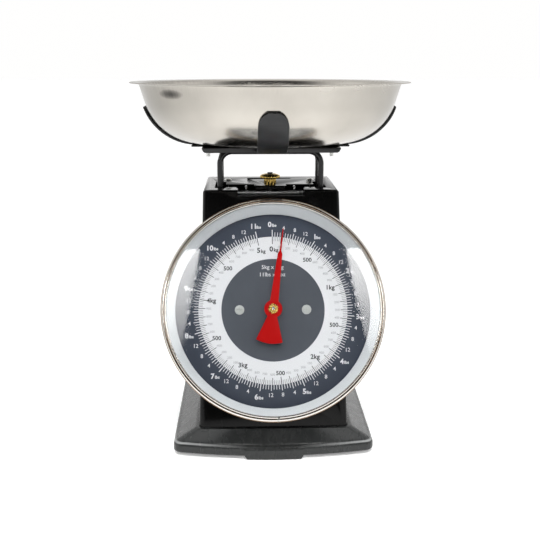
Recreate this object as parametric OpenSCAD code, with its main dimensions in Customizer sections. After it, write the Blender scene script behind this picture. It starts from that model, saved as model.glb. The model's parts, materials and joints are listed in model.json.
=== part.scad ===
// Mechanical kitchen scale with a sloping dial, a spring-hung load frame and a lift-off bowl.
// +Z is up, the dial faces -Y, and the feet stand on Z = 0.

/* [Case] */
// Width of the sheet metal case at the foot of its front face
case_w = 102.8; // [100:0.2:106]
// Width of the case at the top of its front face
case_top_w = 98.6; // [96:0.2:102]
// Height of the case's flat top above the table
top_z = 175; // [170:1:180]
// Front edge of the flat top, measured from the bowl's axis
top_front = -28; // [-30:0.5:-26]
// Back edge of the flat top, measured from the bowl's axis
top_back = 52; // [48:0.5:58]
// Lean of the front face and of the dial, in degrees
face_tilt = 23; // [21:0.5:25]
// Thickness of the case's sheet
sheet = 1; // [0.8:0.1:1.2]

/* [Base] */
// Width of the pressed base
base_w = 139; // [136:0.5:144]
// Front of the base, measured from the bowl's axis
base_front = -103; // [-105:0.5:-101]
// Back of the base, measured from the bowl's axis
base_back = 68; // [64:0.5:74]
// How far the middle of the front edge stands ahead of its corners
base_bow = 7; // [4:0.5:9]
// Height of the base's flat deck, where the case stands
deck_z = 20.4; // [18:0.2:22]

/* [Dial] */
// Height at which the dial's axis meets the front face
dial_z = 93.2; // [91:0.2:95]
// Outer radius of the bezel
bezel_r = 76.2; // [75:0.2:77]
// Depth of the dial housing, from the front face to the front of the bezel
bezel_depth = 27; // [26:0.5:28]
// Radius of the dial that shows inside its surround
dial_r = 67; // [66:0.2:68]
// Length of the pointer from its axis to its tip
pointer_len = 56.5; // [50:0.5:58]
// Angle of the pointer past zero when the empty bowl is on
pointer_rest = 7.6; // [0:0.1:20]

/* [Bowl and platform] */
// Radius of the bowl at its rolled rim
rim_r = 102.4; // [100:0.2:105]
// Height of the bowl's rim above the table
rim_z = 251; // [248:0.5:254]
// Height of the platform's top face, where the cross strip lies
platform_z = 206.2; // [205:0.2:207]
// Width of the platform
platform_w = 98; // [94:0.5:102]
// Depth of the platform, front to back
platform_d = 76; // [70:1:84]
// Width of the platform across its side wings
wing_w = 115; // [110:0.5:118]
// Width of the claw strips
claw_w = 20.4; // [18:0.2:22]

/* [Mechanism] */
// Diameter of the load frame's rods
rod_d = 4.2; // [4:0.1:5]
// Module of the rack and pinion
gear_module = 0.45; // [0.4:0.05:0.5]
// Teeth on the pinion
pinion_teeth = 10; // [10:1:12]
// Angle of the dial's full scale, in degrees
scale_sweep = 348; // [340:1:350]
// Length of the stabiliser arms between their pivots
arm_len = 58; // [54:1:60]
// Turns of wire in each load spring
spring_turns = 14; // [10:1:18]

/* [Hidden] */

$fn = 64;
eps = 0.01;

// Case
edge_r = 3;
floor_z = deck_z;
face_foot = top_front - (top_z - floor_z) * tan(face_tilt);
// Lean of the case's sides towards each other, and half the case's width level with the dial
splay = atan((case_w - case_top_w) / 2 / (top_z - floor_z) * cos(face_tilt));
case_mid = case_w / 2 - (dial_z - floor_z) / cos(face_tilt) * tan(splay);
dial_y = top_front - (top_z - dial_z) * tan(face_tilt);

// The origin lies under the middle of the whole scale, between the bezel's foremost point and
// the back of the bowl's rim; the bowl's axis stands this far behind it
bead_r = 1.9;
foremost = dial_y - (bezel_r - bead_r) * sin(face_tilt)
  - (bezel_depth - bead_r) * cos(face_tilt) - bead_r;
axis_y = -(foremost + rim_r) / 2;

// Dial stack, measured along the dial's axis from the front face
pan_r = bezel_r - 1.6;
dial_top = bezel_depth - 11.5;
dial_t = 0.8;
lens_back = bezel_depth - 2.8;
lens_t = 1.6;
pointer_back = dial_top + 4.8;
pointer_t = 0.8;
post_x = 23;

// Movement, behind the front face
front_plate_z = -3.2;
plate_t = 1.2;
plate_w = 62;
plate_h = 30;
pillar_x = 27;
pillar_y = 11;
arbor_r = 1;
pitch_r = gear_module * pinion_teeth / 2;
tooth_pitch = PI * gear_module;
pressure = 25;
addendum = 0.89 * gear_module;
dedendum = 1.16 * gear_module;
rack_front = -4.4;
rack_t = 1.6;
rack_x = pitch_r + dedendum + 0.05;
rack_w = 5;
// Drop of the load frame over the whole scale; the slope of the dial turns part of it into
// travel along the pinion
full_drop = scale_sweep * PI / 180 * pitch_r / cos(face_tilt);
back_plate_z = rack_front - rack_t - full_drop * sin(face_tilt) - 2.6;

// Load frame
bow_x = 37;
bow_y = 13;
rod_r = rod_d / 2;
bow_bend = 9;
crossbar_z = 44;
crossbar_t = 3;
strip_t = 1.6;
tray_t = 1.2;
tray_h = 3.6;
bow_top = platform_z - tray_t - strip_t - rod_r;
collar_z = [146, 62];
arm_pin_r = 1.5;

// Stabiliser arms
arm_x = 28;
arm_lift = 7;
arm_angle = asin(arm_lift / arm_len);
hinge_y = arm_len * cos(arm_angle) - bow_y;
hinge_z = [for (z = collar_z) z - arm_lift];

// Zero adjuster and springs
stud_r = 1.95;
nut_z = top_z;
yoke_z = 167.5;
yoke_t = 3;
spring_x = 18;
spring_r = 5;
wire_r = 0.75;
hook_rise = 3.6;
hook_reach = 6.5;
hook_tip = 2.6;

// ---------- placing ----------

module at_axis() {
  translate([0, axis_y, 0]) children();
}

// Local Z is the dial's outward normal and local Y runs up the front face.
module at_dial() {
  at_axis() translate([0, dial_y, dial_z]) rotate([90 - face_tilt, 0, 0]) children();
}

module both_sides() {
  children();
  mirror([1, 0, 0]) children();
}

module along_x(length) {
  translate([-length / 2, 0, 0]) rotate([90, 0, 90]) linear_extrude(length) children();
}

module along_y(from, to) {
  translate([0, to, 0]) rotate([90, 0, 0]) linear_extrude(to - from) children();
}

// A rectangle between two corners with rounded corners of radius r
module round_rect(low, high, r) {
  translate([low[0] + r, low[1]]) square([high[0] - low[0] - 2 * r, high[1] - low[1]]);
  translate([low[0], low[1] + r]) square([high[0] - low[0], high[1] - low[1] - 2 * r]);
  for (x = [low[0] + r, high[0] - r], y = [low[1] + r, high[1] - r]) {
    translate([x, y]) circle(r);
  }
}

function arc(cx, cy, r, a0, a1, n = 8) =
  [for (i = [0:n]) let (a = a0 + (a1 - a0) * i / n) [cx + r * cos(a), cy + r * sin(a)]];

// Phillips screw along +Z: head seated at Z = 0, shank below it
module cross_screw(head_r, head_h, shank_r, length) {
  difference() {
    intersection() {
      cylinder(r = head_r, h = head_h);
      translate([0, 0, head_h - head_r * 1.5]) sphere(head_r * 1.5);
    }
    for (a = [0, 90]) {
      rotate(a) translate([-head_r * 0.55, -head_r * 0.11, head_h * 0.45])
        cube([head_r * 1.1, head_r * 0.22, head_h]);
    }
  }
  translate([0, 0, -length]) cylinder(r = shank_r, h = length + eps);
}

module hex_nut(r, h, bore) {
  difference() {
    cylinder(r = r, h = h, $fn = 6);
    translate([0, 0, -1]) cylinder(r = bore, h = h + 2);
  }
}

// ---------- base ----------

front_chord = base_w / 2 - 6;
bow_r = (front_chord * front_chord + base_bow * base_bow) / (2 * base_bow);

// Plan of the base: a bowed front, straight sides and rounded corners, pulled in by inset
module base_plan(inset) {
  half = base_w / 2 - inset;
  r = 7 - inset / 2;
  intersection() {
    round_rect([-half, base_front - 30], [half, base_back - inset], r);
    translate([0, base_front + bow_r]) circle(bow_r - inset, $fn = 200);
    union() {
      round_rect([-half, base_front + base_bow + inset], [half, base_back - inset], r);
      round_rect([-half + r * 1.2, base_front - 5], [half - r * 1.2, 0], 1);
    }
  }
}

module slab(z, h, inset) {
  translate([0, 0, z]) linear_extrude(h) base_plan(inset);
}

module case_plan(grow) {
  round_rect([-case_w / 2 - grow, face_foot - grow], [case_w / 2 + grow, top_back + grow],
             edge_r + grow);
}

shoulder_z = 9.4;
pan_t = 1.2;

// The pan's outer form, or its hollow when drop is the sheet's thickness
module pan_form(drop) {
  translate([0, 0, 2.6 - 3 * drop])
    linear_extrude(shoulder_z - 1.6 - 2.6 + 2 * drop) base_plan(drop);
  hull() {
    slab(shoulder_z - 2 - drop, 0.4, drop, $fn = 32);
    slab(shoulder_z - 0.4 - drop, 0.4, drop + 0.7, $fn = 32);
    translate([0, 0, deck_z - 0.6 - drop]) linear_extrude(0.6) case_plan(2 - drop, $fn = 32);
  }
}

module base_pan() {
  color([0.18, 0.19, 0.19])
  at_axis() {
    difference() {
      pan_form(0);
      pan_form(pan_t);
      translate([-32, -40, 0]) cube([64, 60, 40]);
      for (x = [-foot_x, foot_x], y = base_screw_y) {
        translate([x, y, 0]) cylinder(r = 1.7, h = 40);
      }
    }
    // Raised panel at the middle of the front skirt, reaching down to the table
    difference() {
      intersection() {
        translate([0, 0, 0.4]) linear_extrude(shoulder_z - 1.2)
          translate([0, base_front + bow_r - 0.7]) circle(bow_r, $fn = 200);
        translate([-20, base_front - 5, 0]) cube([40, 9, 12]);
      }
      translate([0, 0, -1]) linear_extrude(20)
        translate([0, base_front + bow_r + 0.6]) circle(bow_r, $fn = 200);
    }
  }
}

foot_x = 40;
foot_y = [-84, 44];
base_screw_y = [-70, 30];

// Tall feet that stand under the flat part of the deck
module rubber_feet() {
  color([0.06, 0.06, 0.06])
  at_axis() for (x = [-foot_x, foot_x], y = foot_y) {
    translate([x, y, 0]) {
      cylinder(r1 = 6.2, r2 = 7, h = 2);
      translate([0, 0, 2]) cylinder(r = 7, h = 3);
      translate([0, 0, 5]) cylinder(r = 5, h = deck_z - pan_t - 5);
    }
  }
}

module base_screws() {
  color([0.75, 0.75, 0.75])
  at_axis() for (x = [-foot_x, foot_x], y = base_screw_y) {
    translate([x, y, deck_z - pan_t]) rotate([180, 0, 0]) cross_screw(3.2, 1.8, 1.5, 4.4);
  }
}

// ---------- case ----------

// Side view of the case pulled in by inset, with rounded top edges
module case_side(inset) {
  r = edge_r - inset;
  z1 = top_z - inset;
  y1 = top_back - inset;
  slope = tan(face_tilt);
  shift = inset / cos(face_tilt);
  corner_y = top_front - inset * slope + shift;
  turn = r * tan((90 - face_tilt) / 2);
  polygon(concat(
    [[face_foot + shift, floor_z]],
    arc(corner_y + turn, z1 - r, r, 180 - face_tilt, 90),
    arc(y1 - r, z1 - r, r, 90, 0),
    [[y1, floor_z]]
  ));
}

// Cross-section square to the sloping face, so that the face's upright edge is round; it gives
// the left side and runs past the right one
module case_section(inset) {
  round_rect([-case_mid + inset, -200], [case_w, -inset], edge_r - inset);
}

module case_form(inset) {
  half = case_top_w / 2 + 0.15 - inset;
  intersection() {
    along_x(case_w + 10) case_side(inset);
    translate([0, dial_y, dial_z]) rotate([-face_tilt, 0, 0]) intersection_for (s = [0, 1])
      mirror([s, 0, 0]) rotate([0, splay, 0]) translate([0, 0, -200])
        linear_extrude(400) mirror([0, 1]) case_section(inset);
    along_y(-200, 100) {
      round_rect([-half, 0], [half, top_z - inset], edge_r - inset);
      translate([-case_w, 0]) square([2 * case_w, top_z - edge_r - 1]);
    }
  }
}

module case_shell() {
  color([0.05, 0.05, 0.05])
  at_axis() difference() {
    union() {
      difference() {
        case_form(0);
        case_form(sheet);
        translate([-100, -200, floor_z - 1]) cube([200, 300, 1 + eps]);
      }
      // Flanges turned in along the sides, where the base is screwed on
      both_sides() translate([foot_x - 6, -82, floor_z])
        cube([case_w / 2 - foot_x + 5.1, 130, 1.2]);
    }
    for (x = [-foot_x, foot_x], y = base_screw_y) {
      translate([x, y, floor_z - 1]) cylinder(r = 1.55, h = 4);
    }
    // Open back, closed by the rear cover
    translate([-case_top_w / 2 + 6, top_back - 5, floor_z + 6])
      cube([case_top_w - 12, 10, top_z - floor_z - 14]);
    // Slots for the four legs of the load frame
    both_sides() translate([0, 0, top_z - 5]) linear_extrude(10)
      round_rect([33, -17], [41, 17], 1.5);
    // Windows over the ends of the spring yoke, joined to the leg slots
    translate([0, 0, top_z - 5]) linear_extrude(10) {
      both_sides() translate([12, -13]) square([22, 16]);
      translate([-25, -18]) square([50, 13]);
    }
    // Notch through the front edge, ahead of the zero nut
    translate([-24, -40, top_z - 4]) cube([48, 26, 10]);
    // Hole for the zero stud and slot for the bridge's tab
    translate([0, 0, top_z - 5]) cylinder(r = 2.4, h = 10);
    translate([-17.3, 36.4, top_z - 5]) cube([34.6, 1.6, 10]);
    for (x = [-32, 32]) {
      translate([x, 25, top_z - 5]) cylinder(r = 1.6, h = 10);
    }
    // Openings for the arbor, the dial posts and the rivets of the dial pan
    translate([0, dial_y, dial_z]) rotate([90 - face_tilt, 0, 0]) {
      translate([0, 0, -4]) cylinder(r = 4, h = 8);
      for (x = [-post_x, post_x]) {
        translate([x, 0, -4]) cylinder(r = 3.1, h = 8);
      }
      rivet_places() translate([0, 0, -4]) cylinder(r = 1.6, h = 8);
    }
  }
}

module rear_cover() {
  color([0.07, 0.07, 0.07])
  at_axis() difference() {
    along_y(top_back, top_back + 1.2) difference() {
      round_rect([-case_top_w / 2 + 2.5, floor_z + 2], [case_top_w / 2 - 2.5, top_z - 4], 3);
      for (x = [-1, 1], z = [floor_z + 4.5, top_z - 6.5]) {
        translate([x * (case_top_w / 2 - 9), z]) circle(1.6);
      }
    }
    for (z = hinge_z, x = [-12, 12]) {
      translate([x, top_back + 5, z]) rotate([90, 0, 0]) cylinder(r = 1.6, h = 10);
    }
  }
}

module rear_cover_screws() {
  color([0.75, 0.75, 0.75])
  at_axis() {
    for (x = [-1, 1], z = [floor_z + 4.5, top_z - 6.5]) {
      translate([x * (case_top_w / 2 - 9), top_back + 1.2, z])
        rotate([-90, 0, 0]) cross_screw(2.8, 1.6, 1.45, 1.2);
    }
    for (z = hinge_z, x = [-12, 12]) {
      translate([x, top_back + 1.2, z]) rotate([-90, 0, 0]) cross_screw(2.8, 1.6, 1.45, 4.2);
    }
  }
}

// ---------- dial housing ----------

module rivet_places() {
  for (x = [-38, 38], y = [-30, 30]) {
    translate([x, y, 0]) children();
  }
}

module dial_pan() {
  color([0.05, 0.05, 0.05])
  at_dial() difference() {
    cylinder(r = pan_r, h = dial_top + 4, $fn = 128);
    translate([0, 0, 0.8]) cylinder(r = pan_r - 0.8, h = 40, $fn = 128);
    translate([0, 0, -1]) cylinder(r = 4, h = 4);
    for (x = [-post_x, post_x]) {
      translate([x, 0, -1]) cylinder(r = 3.1, h = 4);
    }
    rivet_places() translate([0, 0, -1]) cylinder(r = 1.6, h = 4);
  }
}

module dial_pan_rivets() {
  color([0.7, 0.7, 0.7])
  at_dial() rivet_places() {
    translate([0, 0, 0.8]) cylinder(r1 = 2.8, r2 = 2, h = 1);
    translate([0, 0, -1]) cylinder(r = 1.5, h = 1.9);
    translate([0, 0, -2]) cylinder(r = 2.8, h = 1);
  }
}

module dial_surround() {
  color([0.78, 0.79, 0.8])
  at_dial() rotate_extrude($fn = 128)
    polygon([
      [dial_r, dial_top],
      [pan_r - 1.2, dial_top],
      [pan_r - 1.2, lens_back],
      [dial_r + 5, lens_back],
      [dial_r + 4.4, lens_back - 0.5],
      [dial_r, dial_top + 0.8]
    ]);
}

module dial_plate() {
  color([0.25, 0.26, 0.29])
  at_dial() translate([0, 0, dial_top - dial_t]) difference() {
    cylinder(r = pan_r - 1.4, h = dial_t, $fn = 128);
    translate([0, 0, -1]) cylinder(r = 4, h = 4);
    for (x = [-post_x, post_x]) {
      translate([x, 0, -1]) cylinder(r = 1.6, h = 4);
    }
  }
}

// Shouldered posts that carry the dial in front and the movement behind
module dial_posts() {
  color([0.7, 0.7, 0.68])
  at_dial() for (x = [-post_x, post_x]) {
    translate([x, 0, 0]) difference() {
      union() {
        translate([0, 0, front_plate_z + plate_t])
          cylinder(r = 3, h = dial_top - dial_t - front_plate_z - plate_t);
        translate([0, 0, 0.8]) cylinder(r = 5, h = 1.5);
        translate([0, 0, front_plate_z - 2.4]) cylinder(r = 1.5, h = 4);
      }
      translate([0, 0, dial_top - dial_t - 6]) cylinder(r = 1.55, h = 10);
    }
  }
}

module dial_screws() {
  color([0.85, 0.85, 0.83])
  at_dial() for (x = [-post_x, post_x]) {
    translate([x, 0, dial_top]) cross_screw(3.25, 1.8, 1.5, 5);
  }
}

module bezel() {
  color([0.8, 0.8, 0.8])
  at_dial() rotate_extrude($fn = 160) {
    r_in = dial_r + 5.2;
    polygon(concat(
      [[pan_r + 0.1, bezel_depth - 14], [bezel_r - 0.4, bezel_depth - 14]],
      [[bezel_r, bezel_depth - 13.4], [bezel_r, bezel_depth - 6]],
      [[bezel_r - 0.5, bezel_depth - 5.4], [bezel_r, bezel_depth - 4.8]],
      arc(bezel_r - bead_r, bezel_depth - bead_r, bead_r, 0, 90),
      [[r_in + 0.3, bezel_depth - 0.4], [r_in, bezel_depth - 1]],
      [[pan_r + 0.1, bezel_depth - 1]]
    ));
  }
}

module lens() {
  color([0.85, 0.9, 0.95, 0.25])
  at_dial() translate([0, 0, lens_back]) cylinder(r = pan_r - 0.2, h = lens_t, $fn = 128);
}

// ---------- movement ----------

module movement_plate(z) {
  difference() {
    translate([0, 0, z]) linear_extrude(plate_t)
      round_rect([-plate_w / 2, -plate_h / 2], [plate_w / 2, plate_h / 2], 3);
    translate([0, 0, z - 1]) cylinder(r = 2.5, h = 4);
    for (x = [-pillar_x, pillar_x], y = [-pillar_y, pillar_y]) {
      translate([x, y, z - 1]) cylinder(r = 1.25, h = 4);
    }
    for (x = [-post_x, post_x]) {
      translate([x, 0, z - 1]) cylinder(r = 1.6, h = 4);
    }
  }
}

module movement_front_plate() {
  color([0.72, 0.6, 0.3])
  at_dial() movement_plate(front_plate_z);
}

// The notch leaves the rack's hanger room to come down
module movement_back_plate() {
  color([0.72, 0.6, 0.3])
  at_dial() difference() {
    movement_plate(back_plate_z);
    translate([hanger_x - 0.8, 3.6, back_plate_z - 1]) cube([hanger_w + 1.6, 20, 4]);
  }
}

module movement_pillars() {
  color([0.72, 0.6, 0.3])
  at_dial() for (x = [-pillar_x, pillar_x], y = [-pillar_y, pillar_y]) {
    translate([x, y, back_plate_z + plate_t])
      cylinder(r = 2, h = front_plate_z - back_plate_z - plate_t);
    translate([x, y, back_plate_z - 2.2])
      cylinder(r = 1.15, h = front_plate_z - back_plate_z + plate_t + 2.8);
  }
}

module movement_nuts() {
  color([0.7, 0.7, 0.7])
  at_dial() {
    for (x = [-pillar_x, pillar_x], y = [-pillar_y, pillar_y]) {
      translate([x, y, back_plate_z - 1.8]) hex_nut(2.5, 1.8, 1.2);
    }
    for (x = [-post_x, post_x]) {
      translate([x, 0, front_plate_z - 2.2]) hex_nut(3, 2.2, 1.55);
    }
  }
}

module arbor_bushes() {
  color([0.8, 0.65, 0.25])
  at_dial() for (z = [front_plate_z, back_plate_z]) {
    difference() {
      union() {
        translate([0, 0, z]) cylinder(r = 2.45, h = plate_t);
        translate([0, 0, z == front_plate_z ? z + plate_t : z - 0.8]) cylinder(r = 3.2, h = 0.8);
      }
      translate([0, 0, z - 2]) cylinder(r = arbor_r + 0.04, h = 6);
    }
  }
}

module arbor() {
  color([0.75, 0.75, 0.75])
  at_dial() translate([0, 0, back_plate_z - 1.2])
    cylinder(r = arbor_r, h = pointer_back + 2.5 - back_plate_z + 1.2);
}

// Involute pinion profile, one tooth centred on angle 0
base_r = pitch_r * cos(pressure);
root_r = pitch_r - dedendum;
tip_r = pitch_r + addendum;
tooth_half = 90 / pinion_teeth - 1.1;

function inv(a) = tan(a) * 180 / PI - a;
function flank_half(r) =
  r <= base_r ? tooth_half + inv(pressure) : tooth_half + inv(pressure) - inv(acos(base_r / r));
function polar(r, a) = [r * cos(a), r * sin(a)];

flank_r = [for (i = [0:5]) base_r + (tip_r - base_r) * i / 5];

module pinion_profile() {
  polygon([
    for (t = [0:pinion_teeth - 1])
      let (a = 360 * t / pinion_teeth)
        each concat(
          [polar(root_r, a - flank_half(base_r))],
          [for (r = flank_r) polar(r, a - flank_half(r))],
          [for (i = [5:-1:0]) polar(flank_r[i], a + flank_half(flank_r[i]))],
          [polar(root_r, a + flank_half(base_r))]
        )
  ]);
}

module pinion() {
  color([0.8, 0.65, 0.25])
  at_dial() translate([0, 0, back_plate_z + plate_t + 0.3]) difference() {
    linear_extrude(front_plate_z - back_plate_z - plate_t - 0.6) pinion_profile();
    translate([0, 0, -1]) cylinder(r = arbor_r, h = 20);
  }
}

// Rack teeth point at the pinion; a gap stands at Y = 0
rack_low = -4;
rack_high = 11;
rack_end = 24;
rack_hole_y = [18.5, 22];
hanger_x = rack_x + 1.4;
hanger_w = 4.4;
hanger_h = 8;
hanger_z = dial_z + 20.3 * cos(face_tilt) + 1;

// Outline of one rack tooth from its upper root to its lower root
function rack_tooth(i) =
  let (
    y = (i + 0.5) * tooth_pitch,
    half = tooth_pitch / 4 - 0.04,
    tip = half - addendum * tan(pressure),
    root = half + (rack_x - pitch_r) * tan(pressure)
  )
    [[rack_x, y + root], [pitch_r - addendum, y + tip], [pitch_r - addendum, y - tip],
     [rack_x, y - root]];

module rack() {
  low = rack_low * tooth_pitch;
  color([0.72, 0.6, 0.3])
  at_dial() translate([0, 0, rack_front - rack_t]) difference() {
    linear_extrude(rack_t) polygon(concat(
      [[rack_x, low], [rack_x + rack_w, low], [rack_x + rack_w, rack_end], [rack_x, rack_end]],
      [for (i = [rack_high:-1:rack_low]) each rack_tooth(i)]
    ));
    for (y = rack_hole_y) {
      translate([rack_x + rack_w / 2, y, -1]) cylinder(r = 0.8, h = 4);
    }
  }
}

module rack_screws() {
  color([0.75, 0.75, 0.75])
  at_dial() for (y = rack_hole_y) {
    translate([rack_x + rack_w / 2, y, rack_front])
      cross_screw(1.6, 0.9, 0.75, rack_t + 2.2);
  }
}

// ---------- pointer ----------

pointer_disc_r = 6.15;
pointer_tail_r = 23.8;

// Hand: a tapering arm with a fine tip, a disc about the axis and a fan-shaped counterweight
module pointer_shape() {
  shoulder = pointer_len * 0.68;
  neck = shoulder + 2.2;
  polygon(concat(
    [[0.35, pointer_len], [0.6, neck], [1.6, shoulder]],
    arc(0, 0, pointer_disc_r, 62, -58, 16),
    arc(0, 0, pointer_tail_r, -67.6, -112.4, 12),
    arc(0, 0, pointer_disc_r, -122, -242, 16),
    [[-1.6, shoulder], [-0.6, neck], [-0.35, pointer_len]]
  ));
}

module pointer() {
  color([0.8, 0.05, 0.04])
  at_dial() rotate(-pointer_rest) translate([0, 0, pointer_back]) difference() {
    linear_extrude(pointer_t) pointer_shape();
    translate([0, 0, -1]) cylinder(r = 2.2, h = 4);
  }
}

module pointer_hub() {
  color([0.8, 0.65, 0.25])
  at_dial() difference() {
    union() {
      translate([0, 0, dial_top + 1]) cylinder(r = 2.2, h = pointer_back + pointer_t - dial_top);
      translate([0, 0, dial_top + 1]) cylinder(r = 3.4, h = pointer_back - dial_top - 1);
      translate([0, 0, pointer_back + pointer_t]) cylinder(r1 = 3.75, r2 = 3.2, h = 1.4);
    }
    translate([0, 0, dial_top - 5]) cylinder(r = arbor_r, h = 20);
  }
}

// ---------- zero adjuster ----------

module spring_bridge() {
  color([0.3, 0.3, 0.3])
  at_axis() difference() {
    union() {
      translate([0, 0, top_z - sheet - 2]) linear_extrude(2) {
        round_rect([-11, -3.6], [11, 40], 1);
        round_rect([-37, 18], [37, 34], 2);
      }
      translate([-17, 36.5, top_z - sheet - 1]) cube([34, 1.4, sheet + 1.4]);
    }
    translate([0, 0, top_z - 10]) cylinder(r = 2.2, h = 20);
    for (x = [-32, 32]) {
      translate([x, 25, top_z - 10]) cylinder(r = 1.55, h = 20);
    }
  }
}

module top_screws() {
  color([0.85, 0.85, 0.85])
  at_axis() for (x = [-32, 32]) {
    translate([x, 25, top_z]) cross_screw(3, 1.8, 1.5, 5);
  }
}

module zero_nut() {
  color([0.72, 0.56, 0.16])
  at_axis() translate([0, 0, nut_z]) difference() {
    union() {
      cylinder(r = 4.3, h = 6);
      for (a = [0:20:340]) {
        rotate(a) translate([4.2, 0, 0.6]) cylinder(r = 0.5, h = 4.6, $fn = 16);
      }
      translate([0, 0, 5]) cylinder(r = 7.6, h = 1.9);
      translate([0, 0, 6.9]) cylinder(r1 = 7.6, r2 = 3.4, h = 1.6);
    }
    translate([0, 0, -1]) cylinder(r = stud_r + 0.05, h = 12);
  }
}

module zero_stud() {
  color([0.2, 0.2, 0.2])
  at_axis() {
    translate([0, 0, yoke_z - 2.4]) cylinder(r = stud_r, h = nut_z + 9.4 - yoke_z + 2.4);
    translate([0, 0, yoke_z - 2.6]) cylinder(r = 3.4, h = 2.6, $fn = 6);
  }
}

module spring_yoke() {
  color([0.75, 0.75, 0.75])
  at_axis() difference() {
    translate([0, 0, yoke_z]) linear_extrude(yoke_t) round_rect([-25, -5], [25, 5], 2);
    translate([0, 0, yoke_z - 1]) cylinder(r = stud_r, h = 6);
    for (x = [-spring_x, spring_x]) {
      translate([x, 0, yoke_z - 1]) cylinder(r = 1.8, h = 6);
    }
  }
}

// ---------- springs ----------

coil_top = yoke_z - 9;
coil_bottom = crossbar_z + crossbar_t + 9;
coil_steps = 20;
wire_sides = 6;

// A ring of the wire: centre c, and two directions a and b that span its section
function wire_ring(c, a, b) =
  [for (k = [0:wire_sides - 1])
    let (t = 360 * k / wire_sides)
      c + wire_r * (cos(t) * a + sin(t) * b)];

function coil_ring(i) =
  let (turn = i / coil_steps, w = 360 * turn, rise = (coil_top - coil_bottom) / spring_turns)
    wire_ring([spring_r * cos(w), spring_r * sin(w), coil_bottom + rise * turn],
              [cos(w), sin(w), 0], [0, 0, 1]);

// Hook that passes down through the crossbar and turns forward under it, tip first
function lower_hook(z, far) = [
  wire_ring([0, -hook_reach, far + hook_tip], [0, 1, 0], [-1, 0, 0]),
  wire_ring([0, -hook_reach, far], [0, 1, 1], [-1, 0, 0]),
  wire_ring([0, 0, far], [0, -1, 1], [-1, 0, 0]),
  wire_ring([0, 0, z], [0, -1, 0], [-1, 0, 1]),
  wire_ring([spring_r, 0, z], [1, -1, 0], [0, 0, 1])
];

// Hook that passes up through the yoke and turns forward over it, tip last
function upper_hook(z, far) = [
  wire_ring([spring_r, 0, z], [1, 1, 0], [0, 0, 1]),
  wire_ring([0, 0, z], [0, 1, 0], [1, 0, 1]),
  wire_ring([0, 0, far], [0, 1, 1], [1, 0, 0]),
  wire_ring([0, -hook_reach, far], [0, -1, 1], [1, 0, 0]),
  wire_ring([0, -hook_reach, far - hook_tip], [0, -1, 0], [1, 0, 0])
];

function tube_faces(rings) =
  [for (i = [0:rings - 2], k = [0:wire_sides - 1])
    let (n = (k + 1) % wire_sides, p = i * wire_sides, q = p + wire_sides)
      each [[p + k, q + k, q + n], [p + k, q + n, p + n]]];

module wire_tube(rings) {
  count = len(rings);
  first = [for (k = [0:wire_sides - 1]) k];
  last = [for (k = [wire_sides - 1:-1:0]) (count - 1) * wire_sides + k];
  polyhedron([for (r = rings) each r], concat(tube_faces(count), [first, last]), convexity = 10);
}

module load_spring(x) {
  translate([x, 0, 0]) wire_tube(concat(
    lower_hook(coil_bottom, crossbar_z - 1.2),
    [for (i = [1:spring_turns * coil_steps - 1]) coil_ring(i)],
    upper_hook(coil_top, yoke_z + yoke_t + hook_rise)
  ));
}

module spring_left() {
  color([0.7, 0.7, 0.72]) at_axis() load_spring(-spring_x);
}

module spring_right() {
  color([0.7, 0.7, 0.72]) at_axis() load_spring(spring_x);
}

// ---------- load frame ----------

// Inverted U of round rod with its legs at X = +-bow_x
module bow(y, foot) {
  leg = bow_top - bow_bend - foot;
  translate([0, y, 0]) {
    both_sides() {
      translate([bow_x, 0, foot]) cylinder(r = rod_r, h = leg);
      translate([bow_x - bow_bend, 0, bow_top - bow_bend]) rotate([90, 0, 0])
        rotate_extrude(angle = 90) translate([bow_bend, 0]) circle(rod_r);
    }
    translate([bow_bend - bow_x, 0, bow_top]) rotate([0, 90, 0])
      cylinder(r = rod_r, h = 2 * (bow_x - bow_bend));
  }
}

module front_bow() {
  color([0.04, 0.04, 0.04]) at_axis() bow(-bow_y, crossbar_z - 3);
}

module rear_bow() {
  color([0.04, 0.04, 0.04]) at_axis() bow(bow_y, crossbar_z - 3);
}

module load_crossbar() {
  color([0.35, 0.35, 0.35])
  at_axis() difference() {
    translate([0, 0, crossbar_z]) linear_extrude(crossbar_t)
      round_rect([-bow_x - 5, -bow_y - 5], [bow_x + 5, bow_y + 5], 4);
    for (x = [-bow_x, bow_x], y = [-bow_y, bow_y]) {
      translate([x, y, crossbar_z - 1]) cylinder(r = rod_r, h = 6);
    }
    // Holes for the springs' hooks and for the hooks' tips
    for (x = [-spring_x, spring_x]) {
      translate([x, 0, crossbar_z - 1]) cylinder(r = 1.8, h = 6);
      translate([x, -hook_reach, crossbar_z - 1]) cylinder(r = 1.5, h = 6);
    }
  }
}

module crossbar_nuts() {
  color([0.7, 0.7, 0.7])
  at_axis() for (x = [-bow_x, bow_x], y = [-bow_y, bow_y]) {
    translate([x, y, crossbar_z - 2.6]) hex_nut(4, 2.6, rod_r);
    translate([x, y, crossbar_z + crossbar_t]) hex_nut(4, 2.2, rod_r);
  }
}

// Collars on the front legs; each carries the pin that a stabiliser arm guides
module arm_collars() {
  color([0.5, 0.5, 0.5])
  at_axis() for (z = collar_z) {
    both_sides() translate([bow_x, -bow_y, z]) {
      difference() {
        translate([0, 0, -4]) cylinder(r = 3.8, h = 8);
        translate([0, 0, -5]) cylinder(r = rod_r, h = 10);
      }
      translate([-2.6, 0, 0]) rotate([0, -90, 0]) cylinder(r = arm_pin_r, h = 9.4);
    }
  }
}

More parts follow.
